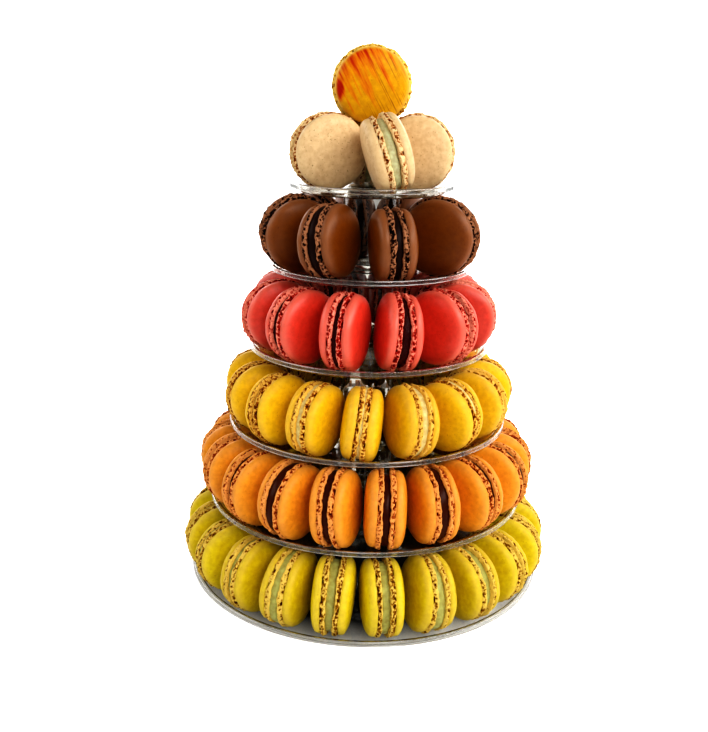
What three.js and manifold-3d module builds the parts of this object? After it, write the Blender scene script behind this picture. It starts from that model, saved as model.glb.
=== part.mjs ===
// A round tower of macarons. Six clear trays stand one above the other, each carried by the hollow column
// of the tray below. Macarons stand on edge round every tray, and one more rests on the top four.
// Millimetres, +Z up. The origin is on the table under the tower's axis, and the front faces -Y.
import * as THREE from "three";
import { mergeVertices } from "three/addons/utils/BufferGeometryUtils.js";
import Module from "manifold-3d";

// Trays: heights are measured from the underside plane of each tray
const TRAY_PITCH = 50;
const LIP_RADII = [117.1, 103.8, 90.5, 77.1, 63.8, 50.5];
const LIP_TOP = 6.2;
const LIP_HEIGHT = 3;
const LIP_WIDTH = 2.5;
const WALL_SLOPE = 0.6;
const SHEET = 1;
const PLATEAU_TOP = 4.8;
const PLATEAU_INSET = 14;
const STEP_RUN = 1;
const COLUMN_RADIUS = 17.5;
const PLUG_RADIUS = 14;
const PLUG_HEIGHT = 3;
const STUB_RADIUS = 15.5;
const STUB_HEIGHT = 3.1;
const TRAY_SIDES = [24, 22, 20, 18, 18, 16];
const TRAY_COLOUR = 0xe8eef0;

// Macaron section, as shares of its radius or thickness
const MACARON_SIDES = 12;
const SHOULDER_RADIUS = 0.8;
const SHOULDER_HEIGHT = 0.415;
const FOOT_HEIGHT = 0.2;
const GROOVE_RADIUS = 0.92;

// Clearance between pieces that rest on each other, and how deep touching macarons are joined
const GAP = 0.3;
const JOIN = 0.6;

// Each ring of macarons: "first" and "step" are azimuths in degrees, 0 at the front and growing to the right.
// "turns" and "leans" hold one value in degrees for each macaron that stands as a piece of its own: how far it
// is turned from the radial plane, and how far its top leans to the right seen from outside.
// Where these macarons are uneven, "shifts" are degrees from their even places and "sizes" shares of the diameter.
// "runs" are the groups of touching macarons that close the ring at the back.
const RINGS = [
  {
    name: "green", colour: 0xc6b02a, diameter: 46.5, thickness: 24.5, radius: 98, seat: 1.3, first: -75.5, step: 16.4,
    turns: [4, 0, 4, 4, 5, 2, -4, -2, -4, -5, -3],
    leans: [-2, -1, 1, 5, 2, 1, 1, -3, -1, 2, 1],
    runs: [6, 6],
  },
  {
    name: "orange", colour: 0xe08a32, diameter: 47, thickness: 25, radius: 86.5, seat: 2.2, first: -67.9, step: 19,
    turns: [1, 1, -4, -3, -8, -8, -4, 0, 0],
    leans: [1, 0, 1, -4, 1, 0, -3, 0, 1],
    runs: [6, 5],
  },
  {
    name: "yellow", colour: 0xe5b32e, diameter: 44.4, thickness: 24, radius: 72, seat: 1.3, first: -69.4, step: 22.5,
    turns: [3, 1, -2, 0, 5, 4, 0, 0],
    leans: [-1, -1, 3, 6, 5, -4, 0, 2],
    runs: [4, 4],
  },
  {
    name: "red", colour: 0xd23a30, diameter: 46.5, thickness: 24, radius: 58.5, seat: 1.3, first: -73, step: 30,
    turns: [4, -2, -3, -3, 2, 3],
    leans: [1, 0, 1, 4, 3, -3],
    runs: [6],
  },
  {
    name: "brown", colour: 0x6e3c1c, diameter: 45, thickness: 26, radius: 46.5, seat: 1.9, first: -75, step: 46.4,
    turns: [6, 2, -5, -1],
    leans: [5, -5, -3, -2],
    shifts: [0, -2, -2, 0],
    sizes: [1.05, 1, 0.98, 1.07],
    runs: [4],
  },
];

// The four macarons of the top tray stand further in at the sides, where they carry the last one
const CREAM = { name: "cream", colour: 0xdfbf92, diameter: 46.5, thickness: 25, seat: 1.3 };
const CREAM_PLACES = [
  { azimuth: -77, radius: 27.4, turn: 8, lean: 4 },
  { azimuth: 15, radius: 32, turn: -6, lean: -16 },
  { azimuth: 93, radius: 27.5, turn: -11, lean: -2 },
  { azimuth: 188, radius: 32.2, turn: 0, lean: 3 },
];
const TOP = { name: "top_macaron", colour: 0xe39a2c, diameter: 48, thickness: 25, centre: [-1.7, 2, 312.5] };

const wasm = await Module();
wasm.setup();

const radians = THREE.MathUtils.degToRad;

function matt(colour) {
  return new THREE.MeshStandardMaterial({ color: colour, roughness: 0.75, metalness: 0 });
}

function clear(colour) {
  return new THREE.MeshStandardMaterial({
    color: colour, roughness: 0.08, metalness: 0, transparent: true, opacity: 0.35,
  });
}

// The sides are flat, so their corners stand a little outside the true circle and their middles a little inside.
function cornerScale(sides) {
  return 2 / (1 + Math.cos(Math.PI / sides));
}

// A solid of revolution about Z from profile points [radius, height] that start and end on the axis.
function lathe(profile, sides) {
  const scale = cornerScale(sides);
  const points = profile.map(([radius, height]) => new THREE.Vector2(scale * radius, height));
  return new THREE.LatheGeometry(points, sides).rotateX(Math.PI / 2);
}

// A tray's floor height follows from where its macarons stand. Without a column it ends in a short stub.
function trayShape(index) {
  const lip = LIP_RADII[index];
  const last = index === LIP_RADII.length - 1;
  const ring = last ? CREAM : RINGS[index];
  const floor = ring.seat - GAP;
  const wallFoot = lip - LIP_WIDTH - WALL_SLOPE * (LIP_TOP - floor);
  const rim = [
    [wallFoot, floor],
    [lip - LIP_WIDTH, LIP_TOP],
    [lip, LIP_TOP],
    [lip, LIP_TOP - LIP_HEIGHT],
    [wallFoot + SHEET / 2, floor - SHEET],
  ];
  if (last) {
    const stubTop = floor + STUB_HEIGHT;
    return [
      [0, stubTop],
      [STUB_RADIUS, stubTop],
      [STUB_RADIUS, floor],
      ...rim,
      [STUB_RADIUS - SHEET, floor - SHEET],
      [STUB_RADIUS - SHEET, stubTop - SHEET],
      [0, stubTop - SHEET],
    ];
  }
  const nextIsLast = index + 1 === LIP_RADII.length - 1;
  const nextUnderside = nextIsLast ? CREAM.seat - GAP - SHEET : PLATEAU_TOP - SHEET;
  const shoulder = TRAY_PITCH + nextUnderside - GAP;
  const plateau = ring.radius - PLATEAU_INSET;
  return [
    [0, shoulder + PLUG_HEIGHT],
    [PLUG_RADIUS, shoulder + PLUG_HEIGHT],
    [PLUG_RADIUS, shoulder],
    [COLUMN_RADIUS, shoulder],
    [COLUMN_RADIUS, PLATEAU_TOP],
    [plateau, PLATEAU_TOP],
    [plateau + STEP_RUN, floor],
    ...rim,
    [plateau, floor - SHEET],
    [plateau - STEP_RUN, PLATEAU_TOP - SHEET],
    [COLUMN_RADIUS - SHEET, PLATEAU_TOP - SHEET],
    [COLUMN_RADIUS - SHEET, shoulder - SHEET],
    [0, shoulder - SHEET],
  ];
}

function makeTray(index) {
  const profile = trayShape(index).reverse();
  const tray = new THREE.Mesh(lathe(profile, TRAY_SIDES[index]), clear(TRAY_COLOUR));
  tray.name = `tray_${index + 1}`;
  return tray;
}

function flatRadius(kind) {
  return (kind.diameter / 2) * cornerScale(MACARON_SIDES) * Math.cos(Math.PI / MACARON_SIDES);
}

// Two domed shells with feet and the groove of the filling between them, on edge with the axis along X
// and a flat side down.
function macaronGeometry(kind) {
  const radius = kind.diameter / 2;
  const thickness = kind.thickness;
  const profile = [
    [0, -thickness / 2],
    [SHOULDER_RADIUS * radius, -SHOULDER_HEIGHT * thickness],
    [radius, -FOOT_HEIGHT * thickness],
    [GROOVE_RADIUS * radius, 0],
    [radius, FOOT_HEIGHT * thickness],
    [SHOULDER_RADIUS * radius, SHOULDER_HEIGHT * thickness],
    [0, thickness / 2],
  ];
  const halfSide = Math.PI / MACARON_SIDES;
  return lathe(profile, MACARON_SIDES).rotateZ(halfSide).rotateY(Math.PI / 2);
}

// Where a macaron stands in its tray: its lowest edge is at the seat height whichever way it leans.
function placeOnTray(kind, { azimuth, radius, turn = 0, lean = 0 }) {
  const angle = radians(lean);
  const footDrop = FOOT_HEIGHT * kind.thickness * Math.abs(Math.sin(angle));
  const height = kind.seat + flatRadius(kind) * Math.cos(angle) + footDrop;
  const spot = new THREE.Vector3(0, -radius, height).applyAxisAngle(new THREE.Vector3(0, 0, 1), radians(azimuth));
  const attitude = new THREE.Euler(0, angle, radians(azimuth + turn), "ZYX");
  return new THREE.Matrix4().makeRotationFromEuler(attitude).setPosition(spot);
}

function makeMacaron(name, kind, placement) {
  const macaron = new THREE.Mesh(macaronGeometry(kind), matt(kind.colour));
  macaron.name = name;
  macaron.applyMatrix4(placement);
  return macaron;
}

function toSolid(geometry) {
  const bare = geometry.clone();
  bare.deleteAttribute("normal");
  bare.deleteAttribute("uv");
  const merged = mergeVertices(bare, 1e-3);
  return new wasm.Manifold(
    new wasm.Mesh({
      numProp: 3,
      vertProperties: merged.getAttribute("position").array,
      triVerts: new Uint32Array(merged.index.array),
    }),
  );
}

function toGeometry(solid) {
  const mesh = solid.getMesh();
  return new THREE.BufferGeometry()
    .setAttribute("position", new THREE.BufferAttribute(mesh.vertProperties, 3))
    .setIndex(new THREE.BufferAttribute(mesh.triVerts, 1));
}

// Macarons that touch their neighbours, as one piece.
function makeRun(name, kind, placements) {
  const solids = placements.map((placement) => toSolid(macaronGeometry(kind).applyMatrix4(placement)));
  const joined = solids.reduce((whole, solid) => whole.add(solid));
  const run = new THREE.Mesh(toGeometry(joined), matt(kind.colour));
  run.name = name;
  return run;
}

// The angle between neighbours whose inner shoulders just meet.
function touchingStep(ring) {
  const shoulder = SHOULDER_RADIUS * flatRadius(ring);
  const halfThickness = SHOULDER_HEIGHT * ring.thickness;
  return THREE.MathUtils.radToDeg(2 * Math.atan((halfThickness - JOIN / 2) / (ring.radius - shoulder)));
}

// The azimuths of each run, with equal spaces between the runs and the macarons that stand alone.
function runAzimuths(ring) {
  const step = touchingStep(ring);
  const last = ring.first + (ring.turns.length - 1) * ring.step;
  const taken = ring.runs.reduce((sum, count) => sum + (count - 1) * step, 0);
  const space = (ring.first + 360 - last - taken) / (ring.runs.length + 1);
  let azimuth = last;
  return ring.runs.map((count) => {
    const start = azimuth + space;
    azimuth = start + (count - 1) * step;
    return Array.from({ length: count }, (_, i) => start + i * step);
  });
}

const twoDigits = (number) => String(number).padStart(2, "0");

// One of a ring's macarons that stand alone, in its own size and place.
function makeSingle(ring, i) {
  const size = ring.sizes?.[i] ?? 1;
  const shift = ring.shifts?.[i] ?? 0;
  const kind = { ...ring, diameter: size * ring.diameter };
  const azimuth = ring.first + i * ring.step + shift;
  const place = { azimuth, radius: ring.radius, turn: ring.turns[i], lean: ring.leans[i] };
  return makeMacaron(`${ring.name}_${twoDigits(i + 1)}`, kind, placeOnTray(kind, place));
}

function makeRing(ring) {
  const singles = ring.turns.map((_, i) => makeSingle(ring, i));
  const runs = runAzimuths(ring).map((azimuths, i) => {
    const placements = azimuths.map((azimuth) => placeOnTray(ring, { azimuth, radius: ring.radius }));
    return makeRun(`${ring.name}_back_${i + 1}`, ring, placements);
  });
  return [...singles, ...runs];
}

function makeCreams() {
  return CREAM_PLACES.map((place, i) => makeMacaron(`cream_${twoDigits(i + 1)}`, CREAM, placeOnTray(CREAM, place)));
}

// The last macaron stands upright on the two side creams with its face to the front.
function makeTop() {
  const placement = new THREE.Matrix4().makeRotationZ(Math.PI / 2).setPosition(...TOP.centre);
  return makeMacaron(TOP.name, TOP, placement);
}

const tower = new THREE.Group();
LIP_RADII.forEach((_, index) => {
  const tier = new THREE.Group();
  tier.position.z = index * TRAY_PITCH;
  tier.add(makeTray(index));
  tier.add(...(index < RINGS.length ? makeRing(RINGS[index]) : makeCreams()));
  tower.add(tier);
});
tower.add(makeTop());

export default tower;
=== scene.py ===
import math
from collections import namedtuple

import bpy
import numpy as np
from mathutils import Matrix, Vector


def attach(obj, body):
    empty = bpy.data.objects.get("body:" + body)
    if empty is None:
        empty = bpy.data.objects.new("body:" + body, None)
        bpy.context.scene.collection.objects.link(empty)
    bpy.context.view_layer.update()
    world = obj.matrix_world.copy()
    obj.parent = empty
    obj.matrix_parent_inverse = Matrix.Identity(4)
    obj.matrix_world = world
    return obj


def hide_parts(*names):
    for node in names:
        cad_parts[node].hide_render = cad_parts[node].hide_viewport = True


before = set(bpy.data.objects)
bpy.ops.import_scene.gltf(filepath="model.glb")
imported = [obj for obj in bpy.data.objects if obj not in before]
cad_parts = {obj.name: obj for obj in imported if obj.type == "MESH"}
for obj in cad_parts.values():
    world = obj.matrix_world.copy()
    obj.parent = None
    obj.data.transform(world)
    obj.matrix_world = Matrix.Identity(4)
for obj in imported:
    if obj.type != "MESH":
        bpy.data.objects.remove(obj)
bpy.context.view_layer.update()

# Lengths are in metres and angles in degrees, and a BAND is where a change starts and where it ends

# Camera, at the photograph's viewing angle
IMAGE_LONG_SIDE = 732
FOCAL_LENGTH_PIXELS = 902.2
SENSOR_SIZE = 36.0
CAMERA_PLACE = (0.0, -0.5687, 0.3049)
CAMERA_DOWN = 16.453
CAMERA_LEFT = 0.902
CAMERA_ROLL = 1.072
CAMERA_NEAREST = 0.01

# Trays: thin formed sheets, one for each tier, with heights above each tray's own foot
TRAY_PITCH = 0.050
LIP_RADII = (0.1171, 0.1038, 0.0905, 0.0771, 0.0638, 0.0505)
FLOOR_HEIGHTS = (0.0005, 0.0014, 0.0005, 0.0005, 0.0011, 0.0005)
PLATEAU_RADII = (0.084, 0.0725, 0.058, 0.0445, 0.0325)
SHEET = 0.0005
LIP_TOP = 0.0062
LIP_HEIGHT = 0.003
LIP_WIDTH = 0.0025
# How near a lip's edges its painted highlight is full, and where that highlight fades out
LIP_EDGE_CORE = 0.0003
LIP_EDGE_REACH = 0.0008
WALL_SLOPE = 0.6
PLATEAU_TOP = 0.0048
STEP_RUN = 0.001
COLUMN_RADIUS = 0.0175
COLUMN_TOPS = (0.0535, 0.0535, 0.0535, 0.0535, 0.0497)
PLUG_RADIUS = 0.014
PLUG_HEIGHT = 0.003
STUB_RADIUS = 0.0155
STUB_TOP = 0.0041
INNERMOST_RADIUS = 0.001
CORNER_RADIUS = 0.0012
CORNER_SHARE = 0.45
CORNER_STEPS = 3
TRAY_COLUMNS = 112

# Shallow upright flutes on the columns, which fade out below and above
FLUTES = 14
FLUTE_DEPTH = 0.00015
FLUTE_FOOT_BAND = (PLATEAU_TOP + 0.002, PLATEAU_TOP + 0.006)
FLUTE_HEAD_BAND = (COLUMN_TOPS[-1] - 0.008, COLUMN_TOPS[-1] - 0.004)

# Macaron section, as shares of the radius, of the thickness or of the foot's height
FOOT_WIDTH = 0.137
DOME_SQUARENESS = 0.68
DOME_CURL = 0.93
DOME_RIM_BAND = (0.86, 0.98)
FOOT_ROOT = 0.95
FOOT_SWELL = 0.5
FOOT_TUCK = 0.03
FOOT_TUCK_START = 0.85
FOOT_CREASE_BAND = (0.12, 0.5)
FOOT_CRUMBS_BAND = (0.12, 0.3)
FOOT_LIP_BAND = (0.6, 0.85)
FILLING_SPREAD = (0.7, 1.3)
FILLING_REACH = (0.885, 0.955)
FILLING_BULGE = 0.025

# Macaron grids, and the least length that is divided by
LEAST_LENGTH = 1e-9
DOME_ROWS = 9
DOME_COLUMNS = 52
FOOT_ROWS = 9
FOOT_COLUMNS = 205
FILLING_ROWS = 5
FILLING_COLUMNS = 60

# Macaron relief: sizes and depths, and shares of them
DOME_LUMP_SIZE = 0.012
DOME_LUMP = 0.00022
FINE_LUMP_SIZE = DOME_LUMP_SIZE / 3
FINE_LUMP = 0.4
EDGE_WAVE = 0.0004
RUFFLE_SIZE = 0.0045
RUFFLE = 0.0005
FINE_RUFFLE_SIZE = RUFFLE_SIZE / 3
FINE_RUFFLE = 0.7
CRUMB_SIZE = 0.0012
CRUMB = 0.0006
CRUMB_LEAST = 0.3
CRUMB_DEPTH = 0.0007
CRUMB_BAND = (0.0, 0.5)
PIT_SIZE = 0.0021
PIT_STRETCH = 0.6
PIT_DEPTH = 0.0016
PIT_BAND = (0.08, 0.36)
FILLING_LUMP_SIZE = 0.004
FILLING_LUMP = 0.0003
FILLING_OVERLAP = 1.5
OVAL = 0.010
SHELL_TILT = 1.5
SHELL_SHIFT = 0.0003

# Marks on a foot for painted shade: how far its part under the dome and its crumbs count as pits, and how
# uneven that shade is
UNDER_DOME_SHADE_MARK = 0.22
CRUMB_SHADE_MARK = 0.4
UNDER_DOME_SHADE_UNEVEN_SIZE = RUFFLE_SIZE / 2
UNDER_DOME_SHADE_UNEVEN = 0.22

# What each point carries: how deep in a pit it is, how near a dome's or a lip's edge, and the macaron's tone
# The pit mark places the feet's painted shade, and near a lip the rim mark places the plastic's painted
# highlight
MARKS = "marks"
MARK_AXES = {"pit": "X", "rim": "Y", "tone": "Z"}

# Places in a macaron's list of materials
SHELL, FOOT, FILLING = range(3)

# Seeds of the random draws and of the relief
RANDOM_SEED = 7
SEED_LIMIT = 100000
SIDE_SEED_STEP = 10
DOME_SEED_STEP = 5

# Whole numbers that scatter the relief's noise
SCATTER_FACTORS = (73856093, 19349663, 83492791)
SCATTER_SEED_FACTOR = 7919
SCATTER_ROUNDS = ((13, 1274126177), (16, 668265263))
SCATTER_MASK = 0x7FFFFFFF
SCATTER_SHIFT = 8
SCATTER_TOP = 0xFFFF

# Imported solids: a side's distance from the axis, and the mean radius, as shares of a corner's distance
SOLID_SIDES = 12
SOLID_FLAT = math.cos(math.pi / SOLID_SIDES)
SOLID_MEAN = (1 + SOLID_FLAT) / 2

# Joined solids: a macaron's two rims stand this share of its thickness apart, with some slack
SOLID_RIMS = 0.4
SOLID_RIM_SLACK = 1.2

# Joined solids: corners this near to the farthest one are outermost
SOLID_RIM_DEPTH = 0.004

# Looks of each kind of macaron: colours as red, green and blue out of 255, and the other values as shares
# A foot's crumb and pit colours are painted shade in its hollows and pits
Looks = namedtuple("Looks", (
    "shell", "speck_shade", "shell_shine", "dome_width",
    "foot", "crumb", "pit",
    "filling", "filling_roughness", "filling_lumps", "filling_half",
))
LOOKS = {
    "green": Looks(
        shell=(222, 199, 35), speck_shade=0.88, shell_shine=0.20, dome_width=0.97,
        foot=(235, 206, 112), crumb=(164, 116, 28), pit=(74, 40, 5),
        filling=(184, 182, 112), filling_roughness=0.4, filling_lumps=0.08, filling_half=0.075,
    ),
    "orange": Looks(
        shell=(236, 165, 56), speck_shade=0.88, shell_shine=0.26, dome_width=0.97,
        foot=(238, 172, 102), crumb=(166, 74, 20), pit=(84, 22, 4),
        filling=(74, 30, 10), filling_roughness=0.28, filling_lumps=0.15, filling_half=0.100,
    ),
    "yellow": Looks(
        shell=(232, 188, 36), speck_shade=0.88, shell_shine=0.22, dome_width=0.97,
        foot=(238, 198, 104), crumb=(172, 104, 22), pit=(86, 38, 5),
        filling=(226, 210, 150), filling_roughness=0.4, filling_lumps=0.08, filling_half=0.055,
    ),
    "red": Looks(
        shell=(214, 74, 54), speck_shade=0.88, shell_shine=0.55, dome_width=0.97,
        foot=(242, 156, 134), crumb=(184, 44, 32), pit=(96, 6, 4),
        filling=(64, 10, 12), filling_roughness=0.25, filling_lumps=0.9, filling_half=0.075,
    ),
    "brown": Looks(
        shell=(121, 66, 3), speck_shade=0.85, shell_shine=0.36, dome_width=0.96,
        foot=(174, 126, 94), crumb=(46, 18, 6), pit=(8, 2, 1),
        filling=(36, 12, 4), filling_roughness=0.4, filling_lumps=0.3, filling_half=0.070,
    ),
    "cream": Looks(
        shell=(222, 192, 150), speck_shade=0.70, shell_shine=0.15, dome_width=0.965,
        foot=(236, 208, 160), crumb=(176, 110, 54), pit=(72, 28, 8),
        filling=(200, 198, 158), filling_roughness=0.35, filling_lumps=0.12, filling_half=0.065,
    ),
    "top": Looks(
        shell=(222, 168, 24), speck_shade=0.88, shell_shine=0.15, dome_width=0.93,
        foot=(240, 208, 116), crumb=(198, 146, 56), pit=(140, 88, 24),
        filling=(100, 32, 7), filling_roughness=0.4, filling_lumps=0.2, filling_half=0.060,
    ),
}

# How much faster the green and the blue of a colour change than its red
SHADE_POWERS = (1.0, 1.5, 2.0)

# Kinds of noise and of fine relief
Grain = namedtuple("Grain", "size detail")
Bump = namedtuple("Bump", "strength distance")

# Shells, with stops as places on a ramp and shares of the shell's colour
MOTTLING = Grain(0.003, 6)
MOTTLING_TONE = 0.3
MOTTLING_STOPS = ((0.40, 0.945), (0.90, 1.04))
SPECKS = Grain(0.0009, 2)
SPECKS_BAND = (0.66, 0.74)
RIM_PALENESS = 0.35
SHELL_ROUGHNESS = 0.42
SHELL_GRAIN = Grain(0.0016, 4)
SHELL_BUMP = Bump(0.35, 0.0003)

# Feet, with stops for the pale parts and for the painted shade of hollows and pits
FOOT_CELL_SIZE = 0.0015
FOOT_BUMP = Bump(0.6, 0.0005)
RAGGED = Grain(0.0016, 3)
RAGGED_GAIN = 2.4
RAGGED_OFFSET = -1.37
FOOT_TONE = 0.27
FOOT_STOPS = (0.10, 0.40, 0.78)
FOOT_ROUGHNESS = 0.6
FOOT_SHINE = 0.06

# Fillings, with stops as places on a ramp and shares of the filling's colour
CLOUDS = Grain(0.003, 3)
CLOUD_STOPS = ((0.30, 0.93), (0.70, 1.05))
FILLING_SHINE = 0.15
FILLING_GRAIN = Grain(0.0012, 2)
FILLING_BUMP_DISTANCE = 0.0006

# Brush strokes and scratches on the top macaron, and a thicker dab at its left edge
STROKE_GRAIN = Grain(1.0, 3)
STROKE_ORANGE = (218, 96, 14)
STROKE_RED = (176, 38, 8)
STROKE_SLANT = -29
STROKE_WIDTH = 0.0022
STROKE_LENGTH = 0.024
STROKE_FADE_ACROSS = 4.0
STROKE_FADE_DOWN = 10.0
TOP_MIDDLE = 0.3125
DAB_PLACE = (-0.0215, 0.0, 0.3095)
DAB_SIZE = (0.005, 0.04, 0.009)
DAB_STRENGTH = 0.8
PAINT_BAND = (0.52, 0.80)
PAINT_STOPS = (0.62, 0.90)
BARE_EDGE_POWER = 3.0
SCRATCH_BROWN = (140, 52, 10)
SCRATCH_WIDTH = 0.0005
SCRATCH_STRENGTH = 0.7
SCRATCH_BAND = (0.60, 0.70)
SCRATCH_ACROSS_BAND = (-0.012, 0.004)

# Clear plastic, with painted highlights: whiter and less clear in glints along the lips' edges
PLASTIC_COLOUR = (0.85, 0.84, 0.81, 1)
PLASTIC_PAINTED_HIGHLIGHT = (0.88, 0.88, 0.87, 1)
PLASTIC_SHADOW = 0.8
PLASTIC_ROUGHNESS = 0.03
PLASTIC_IOR = 1.4
PLASTIC_WAVES = Grain(0.02, 1)
PLASTIC_BUMP = Bump(0.03, 0.001)
LIP_GLINTS = Grain(0.03, 1)
LIP_GLINT_BAND = (0.40, 0.60)
LIP_GLINT_WHITES = (0.08, 0.50)

# Floor, whose glow is dimmed in scattered and mirrored light, with a painted shadow under the base whose
# middle lies a little to the left
FLOOR_SIZE = 8
FLOOR_ROUGHNESS = 0.9
FLOOR_DARK = 0.05
FLOOR_PALE = 0.9
FLOOR_GLOW = 0.65
FLOOR_DIMMERS = {"Is Diffuse Ray": 0.12, "Is Glossy Ray": 0.35}
FLOOR_SHADE_MIDDLE = (-0.008, -0.002, 0)
FLOOR_SHADE_BAND = (0.082, 0.155)
FLOOR_SHADE_BEND = (0.34, 0.66)

# Surroundings: the bright backdrop lies behind the tower and low down
SURROUND_LIGHT = 0.03
BACKDROP = 1.5
FOREGROUND = 0.45
BACKDROP_BEHIND_BAND = (-0.2, 0.3)
BACKDROP_LOW_BAND = (0.36, 0.22)

# Lamps, at a heading from the front and a height, seen through the clear plastic if refracted
LIGHT_TARGET = (0, 0, 0.16)
LIGHT_DISTANCE = 1.4
Softbox = namedtuple("Softbox", "heading height wide high power refracted")
SOFTBOXES = {
    "left_softbox": Softbox(heading=-85, height=30, wide=1.8, high=0.5, power=6.6, refracted=True),
    "right_softbox": Softbox(heading=52, height=36, wide=2.4, high=0.5, power=16.6, refracted=True),
    "front_softbox": Softbox(heading=8, height=35, wide=1.0, high=1.0, power=1.6, refracted=True),
    "back_softbox": Softbox(heading=180, height=30, wide=2.4, high=0.5, power=11, refracted=False),
}


# Colours

def linear(colour):
    """A shader colour from red, green and blue out of 255, by the sRGB curve."""
    shares = [value / 255 for value in colour]
    bent = [v / 12.92 if v < 0.04045 else ((v + 0.055) / 1.055) ** 2.4 for v in shares]
    return (*bent, 1.0)


def grey(value):
    """A grey shader colour."""
    return (value, value, value, 1.0)


BLACK = grey(0.0)
WHITE = grey(1.0)


def shade(colour, share):
    """A colour made darker and deeper, or lighter, by a share."""
    return tuple(min(255, value * share ** power) for value, power in zip(colour, SHADE_POWERS))


def shades(colour, stops):
    """Ramp stops in darker and lighter shades of a colour."""
    return [(position, linear(shade(colour, share))) for position, share in stops]


# Numbers and grids

def eased(share):
    """A share from 0 to 1 with a soft start and a soft end."""
    return share * share * (3 - 2 * share)


def step_up(values, low, high):
    """Values eased from 0 at low to 1 at high."""
    return eased(np.clip((values - low) / (high - low), 0, 1))


def lattice(cells, seed):
    """A repeatable number from -1 to 1 for each whole-numbered cell."""
    scaled = cells * SCATTER_FACTORS
    mixed = scaled[:, 0] ^ scaled[:, 1] ^ scaled[:, 2]
    mixed = (mixed + seed * SCATTER_SEED_FACTOR) & SCATTER_MASK
    for shift, factor in SCATTER_ROUNDS:
        mixed = (mixed ^ mixed >> shift) * factor & SCATTER_MASK
    return (mixed >> SCATTER_SHIFT & SCATTER_TOP) / (SCATTER_TOP / 2) - 1


def noise(points, size, seed):
    """Smooth noise from -1 to 1 at each point, with lumps of the given size."""
    flat = points.reshape(-1, 3) / size
    cells = np.floor(flat).astype(np.int64)
    share = eased(flat - cells)
    total = np.zeros(len(flat))
    for corner in np.ndindex(2, 2, 2):
        weight = np.prod(np.where(corner, share, 1 - share), axis=1)
        total += weight * lattice(cells + corner, seed)
    return total.reshape(points.shape[:-1])


def rings(radii, heights, columns):
    """Points of stacked rings, one row for each radius and height."""
    angles = np.linspace(0, 2 * math.pi, columns, endpoint=False)
    across = np.outer(radii, np.cos(angles))
    along = np.outer(radii, np.sin(angles))
    up = np.repeat(np.asarray(heights)[:, None], columns, axis=1)
    return np.stack([across, along, up], axis=-1)


def levelled(points):
    """The points moved straight to height 0."""
    return points * (1, 1, 0)


def outward(points):
    """The level direction away from the axis at each point."""
    level = levelled(points)
    length = np.linalg.norm(level, axis=-1, keepdims=True)
    return level / np.maximum(length, LEAST_LENGTH)


def tube_faces(rows, columns):
    """Quads between rings that run downwards."""
    row = np.arange(rows - 1)[:, None]
    column = np.arange(columns)[None, :]
    below = (row + 1) * columns
    beside = (column + 1) % columns
    corners = [row * columns + column, below + column, below + beside, row * columns + beside]
    return np.stack(corners, axis=-1).reshape(-1, 4).tolist()


def fan_faces(pole, first, columns, faces_up):
    """Triangles from one ring to a pole above or below it."""
    faces = []
    for column in range(columns):
        edge = (first + column, first + (column + 1) % columns)
        faces.append((pole, *edge) if faces_up else (pole, *reversed(edge)))
    return faces


Surface = namedtuple("Surface", "points faces material marks")


def mark(shape, pit=0.0, rim=0.0, tone=0.5):
    """The marks of each point of a grid."""
    return np.stack([np.broadcast_to(value, shape) for value in (pit, rim, tone)], axis=-1)


def capped(grid, marks, material=0):
    """A closed surface from rings whose first and last are filled to the axis."""
    rows, columns = grid.shape[:2]
    poles = [grid[0].mean(axis=0), grid[-1].mean(axis=0)]
    points = np.concatenate([grid.reshape(-1, 3), poles])
    faces = tube_faces(rows, columns)
    faces += fan_faces(rows * columns, 0, columns, True)
    faces += fan_faces(rows * columns + 1, (rows - 1) * columns, columns, False)
    marks = np.concatenate([marks.reshape(-1, 3), marks[0, :1], marks[-1, :1]])
    return Surface(points, faces, material, marks)


def add_piece(name, surfaces, materials, node):
    """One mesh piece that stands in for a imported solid."""
    starts = np.cumsum([0] + [len(surface.points) for surface in surfaces])
    faces = []
    kinds = []
    for surface, start in zip(surfaces, starts.tolist()):
        faces += [[corner + start for corner in face] for face in surface.faces]
        kinds += [surface.material] * len(surface.faces)
    mesh = bpy.data.meshes.new(name)
    mesh.from_pydata(np.concatenate([surface.points for surface in surfaces]).tolist(), [], faces)
    mesh.polygons.foreach_set("material_index", kinds)
    marks = mesh.attributes.new(MARKS, "FLOAT_VECTOR", "POINT")
    marks.data.foreach_set("vector", np.concatenate([surface.marks for surface in surfaces]).ravel())
    mesh.shade_smooth()
    for material in materials:
        mesh.materials.append(material)
    piece = bpy.data.objects.new(name, mesh)
    bpy.context.scene.collection.objects.link(piece)
    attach(piece, "root")
    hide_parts(node)


# Trays

def rounded(line):
    """An outline whose inner corners are replaced by short curves."""
    points = [line[0]]
    for before, corner, after in zip(line, line[1:], line[2:]):
        shorter = min((corner - before).length, (after - corner).length)
        cut = min(CORNER_RADIUS, shorter * CORNER_SHARE)
        start = corner + (before - corner).normalized() * cut
        end = corner + (after - corner).normalized() * cut
        for share in np.linspace(0, 1, CORNER_STEPS + 1):
            points.append(start.lerp(corner, share).lerp(corner.lerp(end, share), share))
    points.append(line[-1])
    return points


def beneath(line):
    """The outline one sheet thickness below and inside a line that runs to the axis."""
    points = []
    for index, point in enumerate(line):
        before = line[max(index - 1, 0)]
        after = line[min(index + 1, len(line) - 1)]
        way = (after - before).normalized()
        points.append(point + Vector((-way.y, way.x)) * SHEET)
    return points


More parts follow.
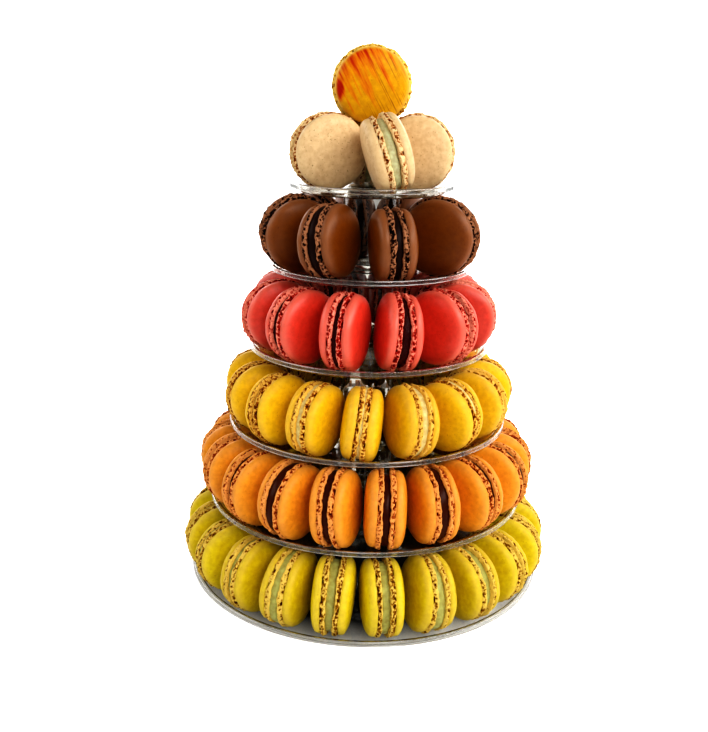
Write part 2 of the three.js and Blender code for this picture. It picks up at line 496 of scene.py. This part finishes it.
def tray_line(index):
    """The upper face of a tray, from the lower edge of its lip to the axis."""
    lip = LIP_RADII[index]
    floor = FLOOR_HEIGHTS[index]
    wall_foot = lip - LIP_WIDTH - WALL_SLOPE * (LIP_TOP - floor)
    line = [(lip, LIP_TOP - LIP_HEIGHT), (lip, LIP_TOP - LIP_HEIGHT + LIP_EDGE_REACH)]
    line += [(lip, LIP_TOP), (lip - LIP_WIDTH, LIP_TOP), (wall_foot, floor)]
    if index < len(PLATEAU_RADII):
        plateau = PLATEAU_RADII[index]
        shoulder = COLUMN_TOPS[index]
        line += [(plateau + STEP_RUN, floor), (plateau, PLATEAU_TOP), (COLUMN_RADIUS, PLATEAU_TOP)]
        line += [(COLUMN_RADIUS, shoulder), (PLUG_RADIUS, shoulder)]
        line += [(PLUG_RADIUS, shoulder + PLUG_HEIGHT), (INNERMOST_RADIUS, shoulder + PLUG_HEIGHT)]
    else:
        line += [(STUB_RADIUS, floor), (STUB_RADIUS, STUB_TOP), (INNERMOST_RADIUS, STUB_TOP)]
    return [Vector(point) for point in line]


def lip_edges(outline, lip):
    """How near each point of a tray's outline is to the upper or lower edge of its lip, from 0 to 1."""
    edges = [Vector((lip, LIP_TOP)), Vector((lip, LIP_TOP - LIP_HEIGHT))]
    nearest = [min((point - edge).length for edge in edges) for point in outline]
    return 1 - step_up(np.array(nearest), LIP_EDGE_CORE, LIP_EDGE_REACH)


def fluted(grid):
    """The grid with shallow upright flutes on the column's wall."""
    across, along, up = np.moveaxis(grid, -1, 0)
    on_column = np.hypot(across, along) < COLUMN_RADIUS + SHEET
    middle = step_up(up, *FLUTE_FOOT_BAND) * (1 - step_up(up, *FLUTE_HEAD_BAND))
    depth = FLUTE_DEPTH * (np.cos(np.arctan2(along, across) * FLUTES) - 1) * middle * on_column
    return grid + outward(grid) * depth[..., None]


def add_tray(index, material):
    """One clear tray with its lip, trough, plateau and column."""
    upper = rounded(tray_line(index))
    outline = upper[::-1] + beneath(upper)
    radii = [point.x for point in outline]
    heights = [point.y for point in outline]
    grid = fluted(rings(radii, heights, TRAY_COLUMNS))
    grid = grid + (0, 0, TRAY_PITCH * index)
    node = f"tray_{index + 1}"
    # The nearness to the lip's edges places the plastic's painted highlight
    edges = lip_edges(outline, LIP_RADII[index])
    surface = capped(grid, mark(grid.shape[:2], rim=edges[:, None]))
    add_piece(f"clear_{node}", [surface], [material], node)


# Macarons

Place = namedtuple("Place", "centre axis radius thickness")


def solid_points(node):
    """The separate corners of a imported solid, to the nearest thousandth of a millimetre."""
    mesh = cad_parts[node].data
    flat = np.empty(len(mesh.vertices) * 3, dtype=np.float32)
    mesh.vertices.foreach_get("co", flat)
    return np.unique(np.round(flat.reshape(-1, 3).astype(float), 6), axis=0)


def single_place(node):
    """Where a lone macaron's solid stands, and its size."""
    points = solid_points(node)
    centre = points.mean(axis=0)
    spread = points - centre
    axis = np.linalg.eigh(spread.T @ spread)[1][:, 0]
    along = spread @ axis
    across = np.linalg.norm(spread - np.outer(along, axis), axis=1)
    return Place(centre, axis, across.max() * SOLID_MEAN, np.ptp(along))


def run_places(node, like):
    """Where the macarons of a joined back run stand, found from their outermost corners."""
    points = solid_points(node)
    reach = np.hypot(points[:, 0], points[:, 1])
    outer = points[reach > reach.max() - SOLID_RIM_DEPTH]
    angles = np.sort(np.arctan2(outer[:, 0], outer[:, 1]))
    same = SOLID_RIM_SLACK * SOLID_RIMS * like.thickness / reach.max()
    groups = np.split(angles, np.where(np.diff(angles) > same)[0] + 1)
    ring = np.hypot(*like.centre[:2])
    low, high = points[:, 2].min(), points[:, 2].max()
    # A solid stands on a flat side, so half its height is a side's distance from the axis
    radius = (high - low) / 2 * (SOLID_MEAN / SOLID_FLAT)
    places = []
    for group in groups:
        angle = (group[0] + group[-1]) / 2
        centre = np.array([ring * math.sin(angle), ring * math.cos(angle), (low + high) / 2])
        axis = np.array([math.cos(angle), -math.sin(angle), 0.0])
        places.append(Place(centre, axis, radius, like.thickness))
    return places


def make_dome(radius, edge, top, tone, seed):
    """A flat-topped cap with rounded shoulders that curls under at its edge, in two more rings."""
    turns = np.linspace(0, math.pi / 2, DOME_ROWS + 1)[1:]
    radii = radius * np.sin(turns) ** DOME_SQUARENESS
    heights = edge + (top - edge) * np.abs(np.cos(turns)) ** DOME_SQUARENESS
    rim = np.append(step_up(radii / radius, *DOME_RIM_BAND), [1.0, 1.0])
    curl = (1 - DOME_CURL) * radius
    radii = np.append(radii, [radius - curl / 2, radius - curl])
    heights = np.append(heights, [edge - curl / 3, edge - curl / 4])
    grid = rings(radii, heights, DOME_COLUMNS)
    lumps = noise(grid, DOME_LUMP_SIZE, seed) + FINE_LUMP * noise(grid, FINE_LUMP_SIZE, seed + 1)
    grid = grid * (1 + DOME_LUMP / radius * lumps[..., None])
    grid[..., 2] += EDGE_WAVE * rim[:, None] * noise(levelled(grid), RUFFLE_SIZE, seed + 2)
    return capped(grid, mark(grid.shape[:2], rim=rim[:, None], tone=tone), SHELL)


def foot_rings(radius, edge, lip, down):
    """A smooth skirt that swells from its root under the dome and tucks in at the filling."""
    swell = np.sin(np.minimum(down / FOOT_SWELL, 1) * math.pi / 2)
    tuck = np.clip((down - FOOT_TUCK_START) / (1 - FOOT_TUCK_START), 0, 1) ** 2
    radii = radius * (FOOT_ROOT + (1 - FOOT_ROOT) * swell - FOOT_TUCK * tuck)
    return rings(radii, edge + (lip - edge) * down, FOOT_COLUMNS)


def make_foot(radius, edge, lip, tone, seed):
    """The crumbly skirt of a shell: long pits under the dome, small ones below, and a smooth lip."""
    down = np.linspace(0, 1, FOOT_ROWS)
    grid = foot_rings(radius, edge, lip, down)
    down = down[:, None]
    crease = 1 - step_up(down, *FOOT_CREASE_BAND)
    middle = step_up(down, *FOOT_CRUMBS_BAND) * (1 - step_up(down, *FOOT_LIP_BAND))
    long_pits = step_up(noise(grid * (1, 1, PIT_STRETCH), PIT_SIZE, seed) * crease, *PIT_BAND)
    crumbs = step_up(noise(grid, CRUMB_SIZE, seed + 1), *CRUMB_BAND) * middle
    relief = noise(grid, RUFFLE_SIZE, seed + 2) * RUFFLE
    relief += noise(grid, CRUMB_SIZE, seed + 3) * CRUMB * (CRUMB_LEAST + (1 - CRUMB_LEAST) * middle)
    relief -= long_pits * PIT_DEPTH
    relief -= crumbs * CRUMB_DEPTH
    grid = grid + outward(grid) * relief[..., None]
    level = levelled(grid)
    wave = noise(level, RUFFLE_SIZE, seed + 4) + FINE_RUFFLE * noise(level, FINE_RUFFLE_SIZE, seed + 6)
    grid[..., 2] += RUFFLE * down * wave
    # Painted shade: the foot darkens towards the dome and in its crumbs and pits
    uneven = UNDER_DOME_SHADE_UNEVEN * noise(level, UNDER_DOME_SHADE_UNEVEN_SIZE, seed + 5)
    painted_shade = 1 - step_up(down + uneven, *FOOT_LIP_BAND)
    pit = np.maximum(long_pits, UNDER_DOME_SHADE_MARK * painted_shade + CRUMB_SHADE_MARK * crumbs)
    return capped(grid, mark(grid.shape[:2], pit=pit, tone=tone), FOOT)


def make_filling(radius, half, reach, tone, seed):
    """A disc of filling between the two feet."""
    share = np.linspace(-1, 1, FILLING_ROWS)
    radii = radius * (reach - FILLING_BULGE * share ** 2)
    grid = rings(radii, -share * (half + RUFFLE * FILLING_OVERLAP), FILLING_COLUMNS)
    lumps = noise(grid, FILLING_LUMP_SIZE, seed)
    grid = grid + outward(grid) * (lumps * FILLING_LUMP)[..., None]
    return capped(grid, mark(grid.shape[:2], tone=tone), FILLING)


def set_in_place(surface, turn, shift):
    """The surface turned by a matrix and then shifted."""
    return surface._replace(points=surface.points @ turn.T + shift)


def small_tilt(draw):
    """A slight random tilt of a shell."""
    first, second = np.radians(draw.normal(0, SHELL_TILT, 2))
    return np.array(Matrix.Rotation(first, 3, "X") @ Matrix.Rotation(second, 3, "Y"))


def make_macaron(place, looks, draw):
    """Two shells with their feet, and the filling, at one macaron's place."""
    seed = int(draw.integers(1, SEED_LIMIT))
    tone = draw.uniform()
    radius = place.radius
    half = place.thickness * looks.filling_half * draw.uniform(*FILLING_SPREAD)
    edge = half + place.thickness * FOOT_WIDTH
    top = place.thickness / 2
    parts = [make_filling(radius, half, draw.uniform(*FILLING_REACH), tone, seed)]
    turned_over = np.diag([1.0, -1.0, -1.0])
    for side, turn in enumerate((np.eye(3), turned_over)):
        tilt = turn @ small_tilt(draw)
        shift = np.append(draw.normal(0, SHELL_SHIFT, 2), 0)
        side_seed = seed + SIDE_SEED_STEP * (side + 1)
        foot = make_foot(radius, edge, half, tone, side_seed)
        dome = make_dome(radius * looks.dome_width, edge, top, tone, side_seed + DOME_SEED_STEP)
        parts += [set_in_place(dome, tilt, shift), set_in_place(foot, tilt, shift)]
    oval = np.diag([1 + OVAL * draw.uniform(-1, 1), 1 + OVAL * draw.uniform(-1, 1), 1.0])
    level = np.cross(place.axis, (0.0, 0.0, 1.0))
    level /= np.linalg.norm(level)
    upright = np.column_stack([level, np.cross(place.axis, level), place.axis])
    return [set_in_place(part, upright @ oval, place.centre) for part in parts]


def add_macarons():
    """Every macaron of the tower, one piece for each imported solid."""
    materials = {colour: macaron_materials(colour, looks) for colour, looks in LOOKS.items()}
    draw = np.random.default_rng(RANDOM_SEED)
    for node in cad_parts:
        colour = node.split("_")[0]
        if colour not in LOOKS:
            continue
        if "_back_" in node:
            places = run_places(node, single_place(f"{colour}_01"))
        else:
            places = [single_place(node)]
        surfaces = [part for place in places for part in make_macaron(place, LOOKS[colour], draw)]
        add_piece(f"macaron_{node}", surfaces, materials[colour], node)


# Shader nodes

def new_material(name):
    """A material with its node tree, shader and coordinates in metres."""
    material = bpy.data.materials.new(name)
    material.use_nodes = True
    tree = material.node_tree
    shader = tree.nodes["Principled BSDF"]
    place = tree.nodes.new("ShaderNodeTexCoord").outputs["Object"]
    return material, tree, shader, place


def feed(tree, value, socket):
    """Link a value to a socket, or set it there if it is a plain number or colour."""
    if isinstance(value, bpy.types.NodeSocket):
        tree.links.new(value, socket)
    else:
        socket.default_value = value


def add_split(tree, vector):
    """A node with the X, Y and Z of a vector."""
    node = tree.nodes.new("ShaderNodeSeparateXYZ")
    feed(tree, vector, node.inputs["Vector"])
    return node


def add_mark(tree, name):
    """The pit, rim or tone that each point of a piece carries."""
    attribute = tree.nodes.new("ShaderNodeAttribute")
    attribute.attribute_name = MARKS
    return add_split(tree, attribute.outputs["Vector"]).outputs[MARK_AXES[name]]


def add_noise(tree, place, grain):
    """A noise texture with features of a grain's size."""
    node = tree.nodes.new("ShaderNodeTexNoise")
    node.inputs["Scale"].default_value = 1 / grain.size
    node.inputs["Detail"].default_value = grain.detail
    feed(tree, place, node.inputs["Vector"])
    return node.outputs["Fac"]


def add_cells(tree, place, size):
    """Distances from the middles of rounded cells of the given size."""
    node = tree.nodes.new("ShaderNodeTexVoronoi")
    node.inputs["Scale"].default_value = 1 / size
    feed(tree, place, node.inputs["Vector"])
    return node.outputs["Distance"]


def add_ramp(tree, value, stops):
    """A ramp of colours at the given positions."""
    stops = list(stops)
    node = tree.nodes.new("ShaderNodeValToRGB")
    elements = node.color_ramp.elements
    while len(elements) < len(stops):
        elements.new(0.5)
    for element, (position, colour) in zip(elements, stops):
        element.position = position
        element.color = colour
    feed(tree, value, node.inputs["Fac"])
    return node.outputs["Color"]


def add_mask(tree, value, band):
    """A ramp from black to white over a band."""
    return add_ramp(tree, value, zip(band, (BLACK, WHITE)))


def add_mix(tree, share, first, second):
    """A colour mixed from two others by a share; each may be a socket or a plain value."""
    node = tree.nodes.new("ShaderNodeMix")
    node.data_type = "RGBA"
    for name, value in (("Factor_Float", share), ("A_Color", first), ("B_Color", second)):
        feed(tree, value, next(item for item in node.inputs if item.identifier == name))
    return next(item for item in node.outputs if item.identifier == "Result_Color")


def add_math(tree, operation, *values):
    """A sum on values, each a socket or a number."""
    node = tree.nodes.new("ShaderNodeMath")
    node.operation = operation
    for value, socket in zip(values, node.inputs):
        feed(tree, value, socket)
    return node.outputs["Value"]


def add_step(tree, value, band, kind="SMOOTHSTEP"):
    """A value that rises from 0 to 1 over a band."""
    node = tree.nodes.new("ShaderNodeMapRange")
    node.interpolation_type = kind
    low, high = band
    node.inputs["From Min"].default_value = low
    node.inputs["From Max"].default_value = high
    feed(tree, value, node.inputs["Value"])
    return node.outputs["Result"]


def add_bump(tree, shader, height, bump):
    """Fine relief on a shader from a height."""
    node = tree.nodes.new("ShaderNodeBump")
    node.inputs["Strength"].default_value = bump.strength
    node.inputs["Distance"].default_value = bump.distance
    feed(tree, height, node.inputs["Height"])
    feed(tree, node.outputs["Normal"], shader.inputs["Normal"])


# Materials

def shell_material(name, looks):
    """Smooth baked shell with faint mottling and fine specks, paler at its edge."""
    material, tree, shader, place = new_material(name)
    clouds = add_noise(tree, place, MOTTLING)
    mottling = add_math(tree, "MULTIPLY_ADD", add_mark(tree, "tone"), MOTTLING_TONE, clouds)
    mottled = add_ramp(tree, mottling, shades(looks.shell, MOTTLING_STOPS))
    specks = add_mask(tree, add_noise(tree, place, SPECKS), SPECKS_BAND)
    speckled = add_mix(tree, specks, mottled, linear(shade(looks.shell, looks.speck_shade)))
    edge = add_math(tree, "MULTIPLY", add_mark(tree, "rim"), RIM_PALENESS)
    feed(tree, add_mix(tree, edge, speckled, linear(looks.foot)), shader.inputs["Base Color"])
    shader.inputs["Roughness"].default_value = SHELL_ROUGHNESS
    shader.inputs["Specular IOR Level"].default_value = looks.shell_shine
    add_bump(tree, shader, add_noise(tree, place, SHELL_GRAIN), SHELL_BUMP)
    return material


def foot_material(name, looks):
    """Crumbly skirt, pale where it stands proud, with painted shade: darker in its hollows and darkest in
    its pits.
    """
    material, tree, shader, place = new_material(name)
    ragged = add_math(tree, "MULTIPLY_ADD", add_noise(tree, place, RAGGED), RAGGED_GAIN, RAGGED_OFFSET)
    painted_shade = add_math(tree, "MULTIPLY_ADD", add_mark(tree, "tone"), FOOT_TONE, ragged)
    depth = add_math(tree, "ADD", add_mark(tree, "pit"), painted_shade)
    # The crumb and pit colours paint shade into the deeper parts
    colours = [linear(colour) for colour in (looks.foot, looks.crumb, looks.pit)]
    feed(tree, add_ramp(tree, depth, zip(FOOT_STOPS, colours)), shader.inputs["Base Color"])
    shader.inputs["Roughness"].default_value = FOOT_ROUGHNESS
    shader.inputs["Specular IOR Level"].default_value = FOOT_SHINE
    crumbs = add_math(tree, "MULTIPLY", add_cells(tree, place, FOOT_CELL_SIZE), -1.0)
    add_bump(tree, shader, crumbs, FOOT_BUMP)
    return material


def filling_material(name, looks):
    """Smooth moist cream, or lumpy jam with small glints."""
    material, tree, shader, place = new_material(name)
    base = add_ramp(tree, add_noise(tree, place, CLOUDS), shades(looks.filling, CLOUD_STOPS))
    feed(tree, base, shader.inputs["Base Color"])
    shader.inputs["Roughness"].default_value = looks.filling_roughness
    shader.inputs["Specular IOR Level"].default_value = FILLING_SHINE
    bump = Bump(looks.filling_lumps, FILLING_BUMP_DISTANCE)
    add_bump(tree, shader, add_noise(tree, place, FILLING_GRAIN), bump)
    return material


def add_strokes(tree, place, width):
    """Long narrow streaks that run down to the right on an upright face."""
    slant = tree.nodes.new("ShaderNodeMapping")
    slant.vector_type = "TEXTURE"
    slant.inputs["Rotation"].default_value = (0, math.radians(STROKE_SLANT), 0)
    slant.inputs["Scale"].default_value = (width, STROKE_LENGTH, STROKE_LENGTH)
    feed(tree, place, slant.inputs["Vector"])
    return add_noise(tree, slant.outputs["Vector"], STROKE_GRAIN)


def add_dab(tree, place):
    """A patch that fades from 1 at its middle to 0 at its edge."""
    nearness = tree.nodes.new("ShaderNodeMapping")
    nearness.vector_type = "TEXTURE"
    nearness.inputs["Location"].default_value = DAB_PLACE
    nearness.inputs["Scale"].default_value = DAB_SIZE
    feed(tree, place, nearness.inputs["Vector"])
    ball = tree.nodes.new("ShaderNodeTexGradient")
    ball.gradient_type = "SPHERICAL"
    feed(tree, nearness.outputs["Vector"], ball.inputs["Vector"])
    return ball.outputs["Fac"]


def add_paint(tree, place, split):
    """How thick the brushed paint is: more towards the left and the top, and most in the dab."""
    strokes = add_strokes(tree, place, STROKE_WIDTH)
    across = add_math(tree, "MULTIPLY_ADD", split.outputs["X"], -STROKE_FADE_ACROSS, strokes)
    lifted = add_math(tree, "SUBTRACT", split.outputs["Z"], TOP_MIDDLE)
    down = add_math(tree, "MULTIPLY_ADD", lifted, STROKE_FADE_DOWN, across)
    return add_math(tree, "MULTIPLY_ADD", add_dab(tree, place), DAB_STRENGTH, down)


def add_scratches(tree, place, split):
    """Thin dark scratches, more towards the right."""
    lines = add_mask(tree, add_strokes(tree, place, SCRATCH_WIDTH), SCRATCH_BAND)
    right = add_step(tree, split.outputs["X"], SCRATCH_ACROSS_BAND)
    return add_math(tree, "MULTIPLY", lines, add_math(tree, "MULTIPLY", right, SCRATCH_STRENGTH))


def streaked_material(name, looks):
    """Shell with red and orange brush strokes that run down to the right, scratches and a bare edge."""
    material = shell_material(name, looks)
    tree = material.node_tree
    base = tree.nodes["Principled BSDF"].inputs["Base Color"]
    plain = base.links[0].from_socket
    place = next(node for node in tree.nodes if node.type == "TEX_COORD").outputs["Object"]
    split = add_split(tree, place)
    bare = add_math(tree, "SUBTRACT", 1.0, add_math(tree, "POWER", add_mark(tree, "rim"), BARE_EDGE_POWER))
    thickness = add_paint(tree, place, split)
    colours = [linear(colour) for colour in (STROKE_ORANGE, STROKE_RED)]
    paint = add_ramp(tree, thickness, zip(PAINT_STOPS, colours))
    painted = add_math(tree, "MULTIPLY", add_mask(tree, thickness, PAINT_BAND), bare)
    brushed = add_mix(tree, painted, plain, paint)
    scratched = add_math(tree, "MULTIPLY", add_scratches(tree, place, split), bare)
    feed(tree, add_mix(tree, scratched, brushed, linear(SCRATCH_BROWN)), base)
    return material


def macaron_materials(colour, looks):
    """The shell, foot and filling materials of one kind of macaron."""
    make_shell = streaked_material if colour == "top" else shell_material
    return [
        make_shell(f"{colour}_shell", looks),
        foot_material(f"{colour}_foot", looks),
        filling_material(f"{colour}_filling", looks),
    ]


def pass_lamp_light(tree, shader):
    """Let light from the lamps go straight through a shader's surface, a little dimmed."""
    passing = tree.nodes.new("ShaderNodeBsdfTransparent")
    passing.inputs["Color"].default_value = grey(PLASTIC_SHADOW)
    path = tree.nodes.new("ShaderNodeLightPath")
    mix = tree.nodes.new("ShaderNodeMixShader")
    feed(tree, path.outputs["Is Shadow Ray"], mix.inputs["Fac"])
    feed(tree, shader.outputs["BSDF"], mix.inputs[1])
    feed(tree, passing.outputs["BSDF"], mix.inputs[2])
    feed(tree, mix.outputs["Shader"], tree.nodes["Material Output"].inputs["Surface"])


def clear_plastic():
    """Clear glossy sheet that lets lamp light through, with painted highlights: whiter and less clear along
    the edges of a lip.
    """
    material, tree, shader, place = new_material("clear_plastic")
    whites = [grey(white) for white in LIP_GLINT_WHITES]
    painted_glint = add_ramp(tree, add_noise(tree, place, LIP_GLINTS), zip(LIP_GLINT_BAND, whites))
    # Painted highlight: the lips' edges are whiter and let less light through, in uneven glints
    edge = add_math(tree, "MULTIPLY", add_mark(tree, "rim"), painted_glint)
    feed(tree, add_mix(tree, edge, PLASTIC_COLOUR, PLASTIC_PAINTED_HIGHLIGHT), shader.inputs["Base Color"])
    feed(tree, add_math(tree, "SUBTRACT", 1.0, edge), shader.inputs["Transmission Weight"])
    shader.inputs["Roughness"].default_value = PLASTIC_ROUGHNESS
    shader.inputs["IOR"].default_value = PLASTIC_IOR
    add_bump(tree, shader, add_noise(tree, place, PLASTIC_WAVES), PLASTIC_BUMP)
    pass_lamp_light(tree, shader)
    return material


# Camera and surroundings

def add_camera():
    """The camera that sees the tower as the photograph does."""
    lens = bpy.data.cameras.new("camera")
    lens.sensor_width = SENSOR_SIZE
    lens.lens = SENSOR_SIZE * FOCAL_LENGTH_PIXELS / IMAGE_LONG_SIDE
    lens.clip_start = CAMERA_NEAREST
    camera = bpy.data.objects.new("camera", lens)
    bpy.context.scene.collection.objects.link(camera)
    heading = Matrix.Rotation(math.radians(CAMERA_LEFT), 4, "Z")
    pitch = Matrix.Rotation(math.radians(90 - CAMERA_DOWN), 4, "X")
    roll = Matrix.Rotation(math.radians(CAMERA_ROLL), 4, "Z")
    camera.matrix_world = Matrix.Translation(CAMERA_PLACE) @ heading @ pitch @ roll
    bpy.context.scene.camera = camera


def floor_material():
    """Pale floor that glows like a light table, except in a painted shadow under the tower."""
    material, tree, shader, place = new_material("floor")
    # Painted shadow: the floor is dark and glows less near a point a little left of the tower's axis
    distance = tree.nodes.new("ShaderNodeVectorMath")
    distance.operation = "DISTANCE"
    distance.inputs[1].default_value = FLOOR_SHADE_MIDDLE
    feed(tree, place, distance.inputs[0])
    outside = add_step(tree, distance.outputs["Value"], FLOOR_SHADE_BAND, "LINEAR")
    bend, bent = FLOOR_SHADE_BEND
    open_floor = add_ramp(tree, outside, [(0.0, BLACK), (bend, grey(bent)), (1.0, WHITE)])
    feed(tree, add_mix(tree, open_floor, grey(FLOOR_DARK), grey(FLOOR_PALE)), shader.inputs["Base Color"])
    shader.inputs["Roughness"].default_value = FLOOR_ROUGHNESS
    shader.inputs["Emission Color"].default_value = WHITE
    path = tree.nodes.new("ShaderNodeLightPath")
    glow = FLOOR_GLOW
    for ray, dimmer in FLOOR_DIMMERS.items():
        glow = add_math(tree, "MULTIPLY_ADD", path.outputs[ray], FLOOR_GLOW * (dimmer - 1), glow)
    feed(tree, add_math(tree, "MULTIPLY", open_floor, glow), shader.inputs["Emission Strength"])
    return material


def add_floor():
    """A plain pale floor."""
    bpy.ops.mesh.primitive_plane_add(size=FLOOR_SIZE, location=(0, 0, 0))
    floor = bpy.context.object
    floor.name = "floor"
    floor.data.materials.append(floor_material())


def add_softbox(name, box):
    """A large soft lamp that faces the tower."""
    lamp = bpy.data.lights.new(name, "AREA")
    lamp.shape = "RECTANGLE"
    lamp.size = box.wide
    lamp.size_y = box.high
    lamp.energy = box.power
    holder = bpy.data.objects.new(name, lamp)
    bpy.context.scene.collection.objects.link(holder)
    side = math.radians(box.heading)
    lift = math.radians(box.height)
    away = Vector((math.cos(lift) * math.sin(side), -math.cos(lift) * math.cos(side), math.sin(lift)))
    holder.location = Vector(LIGHT_TARGET) + away * LIGHT_DISTANCE
    holder.rotation_euler = away.to_track_quat("Z", "Y").to_euler()
    holder.visible_camera = False
    holder.visible_transmission = box.refracted


def add_surround():
    """A white backdrop and a dim foreground, which light the tower less than they show."""
    world = bpy.data.worlds.new("surround")
    world.use_nodes = True
    tree = world.node_tree
    background = tree.nodes["Background"]
    background.inputs["Color"].default_value = WHITE
    direction = add_split(tree, tree.nodes.new("ShaderNodeTexCoord").outputs["Generated"])
    behind = add_step(tree, direction.outputs["Y"], BACKDROP_BEHIND_BAND)
    low = add_step(tree, direction.outputs["Z"], BACKDROP_LOW_BAND)
    bright = add_math(tree, "MULTIPLY", behind, low)
    seen = add_math(tree, "MULTIPLY_ADD", bright, BACKDROP - FOREGROUND, FOREGROUND)
    path = tree.nodes.new("ShaderNodeLightPath")
    scattered = add_math(tree, "MINIMUM", path.outputs["Diffuse Depth"], 1.0)
    direct = add_math(tree, "SUBTRACT", 1.0, scattered)
    shown = add_math(tree, "MULTIPLY", direct, seen)
    glow = add_math(tree, "MULTIPLY_ADD", scattered, SURROUND_LIGHT, shown)
    strength = add_math(tree, "MAXIMUM", path.outputs["Is Camera Ray"], glow)
    feed(tree, strength, background.inputs["Strength"])
    bpy.context.scene.world = world


def add_lights():
    """The softboxes at the sides, in front and behind, and the surround."""
    for name, box in SOFTBOXES.items():
        add_softbox(name, box)
    add_surround()


add_camera()
plastic = clear_plastic()
for tray in range(len(LIP_RADII)):
    add_tray(tray, plastic)
add_macarons()
add_floor()
add_lights()
bpy.context.scene.view_settings.view_transform = "Standard"
bpy.context.scene.view_settings.look = "Very High Contrast"
